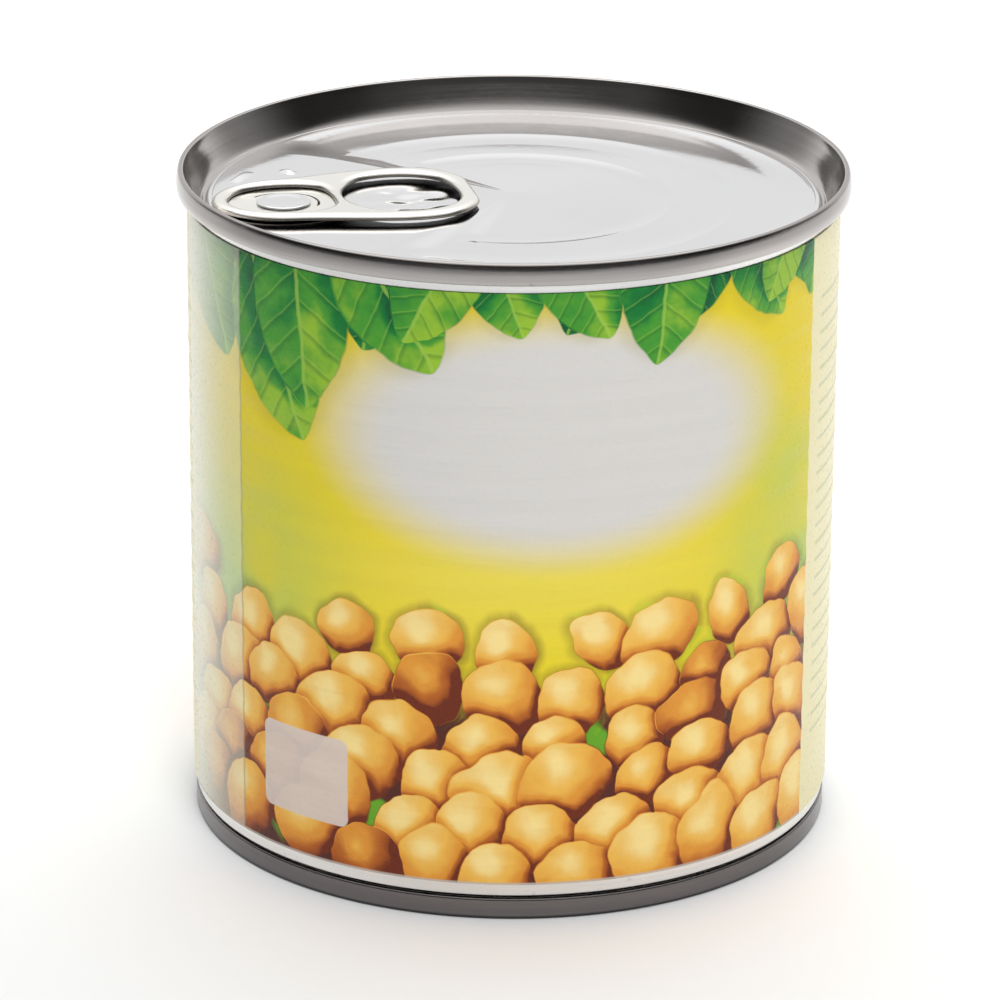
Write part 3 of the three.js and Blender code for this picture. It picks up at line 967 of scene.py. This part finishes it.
def curl(mesh, outlines, height):
    """Remakes a plate's mesh in fine even faces and rounds its upper side down towards its edges."""
    source = bpy.data.objects.new("curl", mesh)
    bpy.context.scene.collection.objects.link(source)
    remesh = source.modifiers.new("fine", "REMESH")
    remesh.mode = "VOXEL"
    remesh.voxel_size = TAB_GRAIN * MM
    graph = bpy.context.evaluated_depsgraph_get()
    fine = bpy.data.meshes.new_from_object(source.evaluated_get(graph))
    bpy.data.objects.remove(source)
    edit = bmesh.new()
    edit.from_mesh(fine)
    axes = {"use_axis_x": True, "use_axis_y": True, "use_axis_z": True}
    for _ in range(SMOOTH_ROUNDS):
        bmesh.ops.smooth_vert(edit, verts=edit.verts, factor=0.5, **axes)
    edit.to_mesh(fine)
    edit.free()
    places = numpy.empty(len(fine.vertices) * 3)
    fine.vertices.foreach_get("co", places)
    places = places.reshape(-1, 3) / MM
    share = numpy.clip(edge_distance(places[:, :2], outlines) / TAB_CURL_WIDTH, 0, 1)
    lift = TAB_EDGE_SHARE + (1 - TAB_EDGE_SHARE) * numpy.sqrt(1 - (1 - share) ** 2)
    places[:, 2] = -height / 2 + (places[:, 2] + height / 2) * lift
    fine.vertices.foreach_set("co", (places * MM).ravel())
    fine.update()
    return fine


def circle(radius, steps, start=0.0, end=2 * math.pi, closed=True):
    count = steps if closed else steps + 1
    angles = [start + (end - start) * i / steps for i in range(count)]
    return [(radius * math.cos(angle), radius * math.sin(angle)) for angle in angles]


def pull_tab(material, edge_shade_material, under_shade_material):
    outline = bezier_outline(TAB_OUTLINE, 12)
    hole = bezier_outline(FINGER_HOLE, 20)
    web = bezier_outline(WEB_OUTLINE, 20)
    thickness = TAB_TOP - TAB_BOTTOM
    flat = flat_shape("tab_rim", [outline, hole, web], TAB_BOTTOM, TAB_TOP, TAB_ROUND)
    rim = on_tab("tab_rim", curl(flat, [outline, hole, web], thickness), TAB_BOTTOM, TAB_TOP, material, 0)
    wide_web = [(u * WEB_UNDER_RIM, v * WEB_UNDER_RIM) for u, v in web]
    slot_from, slot_to = SLOT_ANGLES
    slot = circle(SLOT_RADIUS + SLOT_WIDTH / 2, 40, slot_from, slot_to, False)
    slot += circle(SLOT_RADIUS - SLOT_WIDTH / 2, 40, slot_to, slot_from, False)
    rivet_hole = circle(RIVET_HOLE_RADIUS, 48)
    flat = flat_shape("tab_web", [wide_web, rivet_hole, slot], WEB_BOTTOM, WEB_TOP, WEB_ROUND)
    plate = on_tab("tab_web", flat, WEB_BOTTOM, WEB_TOP, material, 35)
    for piece in (rim, plate):
        # Painted shade: faces that stand steep take the darker edge copy.
        paint(piece, edge_shade_material, lambda centre, normal: -0.3 <= normal.z < 0.5)
        # Painted shade: faces that look down take the near-black copy.
        paint(piece, under_shade_material, lambda centre, normal: normal.z < -0.3)


def label_zones():
    """The label's materials: each zone has only the motifs that reach it."""
    zones = [("side", ((FRONT_END, 200), (0, 100)))]
    zones.append(("field", ((FRONT_START, FRONT_END), (PEA_ZONE_HIGH, LEAF_ZONE_LOW))))
    for low, high in zip(PEA_ZONE_EDGES, PEA_ZONE_EDGES[1:]):
        for bottom, top in zip(PEA_ZONE_LEVELS, PEA_ZONE_LEVELS[1:]):
            zones.append(("peas", ((low, high), (bottom, top))))
    for low, high in zip(LEAF_ZONE_EDGES, LEAF_ZONE_EDGES[1:]):
        zones.append(("leaves", ((low, high), (LEAF_ZONE_LOW, 100))))
    return zones


def paper_label():
    """A thin sleeve that follows the faint beads of the wall, with its print's place in each corner."""
    rows, columns = LABEL_ROWS, LABEL_COLUMNS
    seam = LABEL_SEAM_ARC / LABEL_OUTSIDE
    vertices, faces = [], []
    for i in range(rows + 1):
        t = LABEL_BOTTOM + (LABEL_TOP - LABEL_BOTTOM) * i / rows
        inner_zone = smoothstep(8, 16, t) * smoothstep(80, 72, t)
        wave = BEAD_HEIGHT * inner_zone * math.sin(2 * math.pi * t / BEAD_PITCH)
        for j in range(columns):
            angle = seam + 2 * math.pi * j / columns
            for radius in (LABEL_OUTSIDE - BEAD_HEIGHT + wave, LABEL_INSIDE):
                vertices.append((radius * math.sin(angle), -radius * math.cos(angle), t))
    width = 2 * columns

    def corner(i, j, side):
        return i * width + 2 * (j % columns) + side
    for i in range(rows):
        for j in range(columns):
            square = ((i, j), (i, j + 1), (i + 1, j + 1), (i + 1, j))
            faces.append([corner(*place, 0) for place in square])
            faces.append([corner(*place, 1) for place in (square[0], square[3], square[2], square[1])])
    for j in range(columns):
        k = j + 1
        faces.append((corner(rows, j, 0), corner(rows, k, 0), corner(rows, k, 1), corner(rows, j, 1)))
        faces.append((corner(0, j, 0), corner(0, j, 1), corner(0, k, 1), corner(0, k, 0)))
    zones = label_zones()
    materials = [label_paper(f"label_{art}_{k}", art, zone) for k, (art, zone) in enumerate(zones)]
    piece = new_object("paper_label", vertices, faces, materials[0])
    for material in materials[1:]:
        piece.data.materials.append(material)
    place_print(piece, zones)
    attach(piece, "root")
    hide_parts("label")


def place_print(piece, zones):
    """Writes each corner's place on the print, which goes round twice, and picks the faces' zones."""
    attribute = piece.data.attributes.new("print_place", "FLOAT_VECTOR", "CORNER")
    for polygon in piece.data.polygons:
        x, y, z = polygon.center / MM
        middle = math.atan2(x, -y) * LABEL_OUTSIDE
        shift = ((middle - FRONT_START) % PRINT_PERIOD) + FRONT_START - middle
        for loop in polygon.loop_indices:
            x, y, z = piece.data.vertices[piece.data.loops[loop].vertex_index].co / MM
            s = math.atan2(x, -y) * LABEL_OUTSIDE
            if s - middle > PRINT_PERIOD:
                s -= 2 * PRINT_PERIOD
            if middle - s > PRINT_PERIOD:
                s += 2 * PRINT_PERIOD
            attribute.data[loop].vector = (s + shift, z, 0.0)
        for index, (_, ((s_low, s_high), (t_low, t_high))) in enumerate(zones):
            if s_low <= middle + shift < s_high and t_low <= polygon.center.z / MM < t_high:
                polygon.material_index = index


# Camera, light and floor

def make_camera():
    data = bpy.data.cameras.new("camera")
    data.lens = CAMERA_LENS
    data.sensor_width = SENSOR_WIDTH
    data.clip_start = 0.05
    camera = bpy.data.objects.new("camera", data)
    bpy.context.scene.collection.objects.link(camera)
    right, up, forward = (Vector(v) for v in (CAMERA_RIGHT, CAMERA_UP, CAMERA_FORWARD))
    turn = Matrix((right, up, -forward)).transposed().to_4x4()
    camera.matrix_world = Matrix.Translation(CAMERA_PLACE) @ turn
    bpy.context.scene.camera = camera


def make_light(name, place, target, size, power, glossy):
    data = bpy.data.lights.new(name, "AREA")
    data.shape = "DISK"
    data.size = size
    data.energy = power
    lamp = bpy.data.objects.new(name, data)
    bpy.context.scene.collection.objects.link(lamp)
    way = Vector(target) - Vector(place)
    lamp.matrix_world = Matrix.Translation(place) @ way.to_track_quat("-Z", "Y").to_matrix().to_4x4()
    lamp.visible_glossy = glossy


def make_world():
    world = bpy.data.worlds.new("studio")
    world.use_nodes = True
    tree = world.node_tree
    way = Value(tree, tree.nodes.new("ShaderNodeTexCoord").outputs["Generated"])
    x, y, z = separate(way)
    back = y.ramp(-0.05, 0.50, 0.075, 1.0) + y.ramp(0.2, 0.5) * z.ramp(0.36, 0.54, 0.0, 0.24)
    back = back * x.absolute().ramp(0.62, 0.86, 1.0, 0.34)
    above = z.ramp(0.5, 0.82) * 0.98
    level = back.most(above)
    background = tree.nodes["Background"]
    tree.links.new(level.socket, background.inputs["Strength"])
    background.inputs["Color"].default_value = (1, 1, 1, 1)
    bpy.context.scene.world = world


def make_floor():
    material, tree, shader = new_material("floor")
    x, y, _ = separate(object_place(tree))
    # Painted shade: the floor darkens towards the front and left of the can.
    nearness = (y + x * 0.35).ramp(-0.14, 0.10)
    grey = mix_colour(nearness, FLOOR_SHADED, FLOOR_FAR)
    tree.links.new(grey.socket, shader.inputs["Base Color"])
    shader.inputs["Roughness"].default_value = 0.7
    half = FLOOR_HALF
    vertices = [(-half, -half, 0), (half, -half, 0), (half, half, 0), (-half, half, 0)]
    floor = new_object("floor", vertices, [(0, 1, 2, 3)], material)


def main():
    bpy.context.scene.view_settings.view_transform = "Standard"
    make_camera()
    make_world()
    make_floor()
    for name, lamp in LAMPS.items():
        make_light(name, *lamp)
    tinplate = sheet_metal("tinplate", linear(240, 238, 235), 0.26, streak=0.08, fleck=0.2)
    # The top seam, darker than the lid's metal, with painted shade that darkens it from 85 mm up, standing
    # in for the dark front it faces.
    seam_metal = sheet_metal(
        "seam_metal", linear(184, 179, 176), 0.17, streak=0.12, fleck=0.3, dim=(85.0, 86.4, 0.65))
    # Painted shade: a darker, shinier copy of the lid's metal for the seam's inward walls and groove,
    # standing in for the dark front they reflect.
    inner_wall_shade = sheet_metal("inner_wall_shade", linear(186, 182, 179), 0.13, streak=0.10, fleck=0.2)
    # The base seam, much darker than the can's metal, a tone that stands in for the shaded floor it
    # reflects; dim paints a contact shadow on its foot.
    base_metal = sheet_metal(
        "base_metal", linear(122, 118, 118), 0.22, streak=0.12, fleck=0.2, dim=(0.6, 0.25, 0.1))
    lid_metal = sheet_metal("lid_metal", linear(216, 216, 217), 0.08, smudge=0.03)
    tab_metal = sheet_metal("tab_metal", linear(230, 228, 221), 0.16, smudge=0.05)
    # Painted shade: a darker copy of the tab's metal for its side walls.
    tab_edge_shade = sheet_metal("tab_edge_shade", linear(204, 197, 188), 0.25)
    # Painted shade: a near-black copy of the tab's metal for its shaded underside.
    tab_under_shade = sheet_metal("tab_under_shade", linear(38, 36, 34), 0.35)
    can_wall(tinplate)
    base_seam(base_metal)
    lid_sheet(lid_metal, seam_metal, inner_wall_shade)
    rivet(lid_metal)
    for k, (u, v, half, turn) in enumerate(DASHES):
        dash(f"dash_{k}", u, v, half, turn, lid_metal)
    pull_tab(tab_metal, tab_edge_shade, tab_under_shade)
    paper_label()


main()
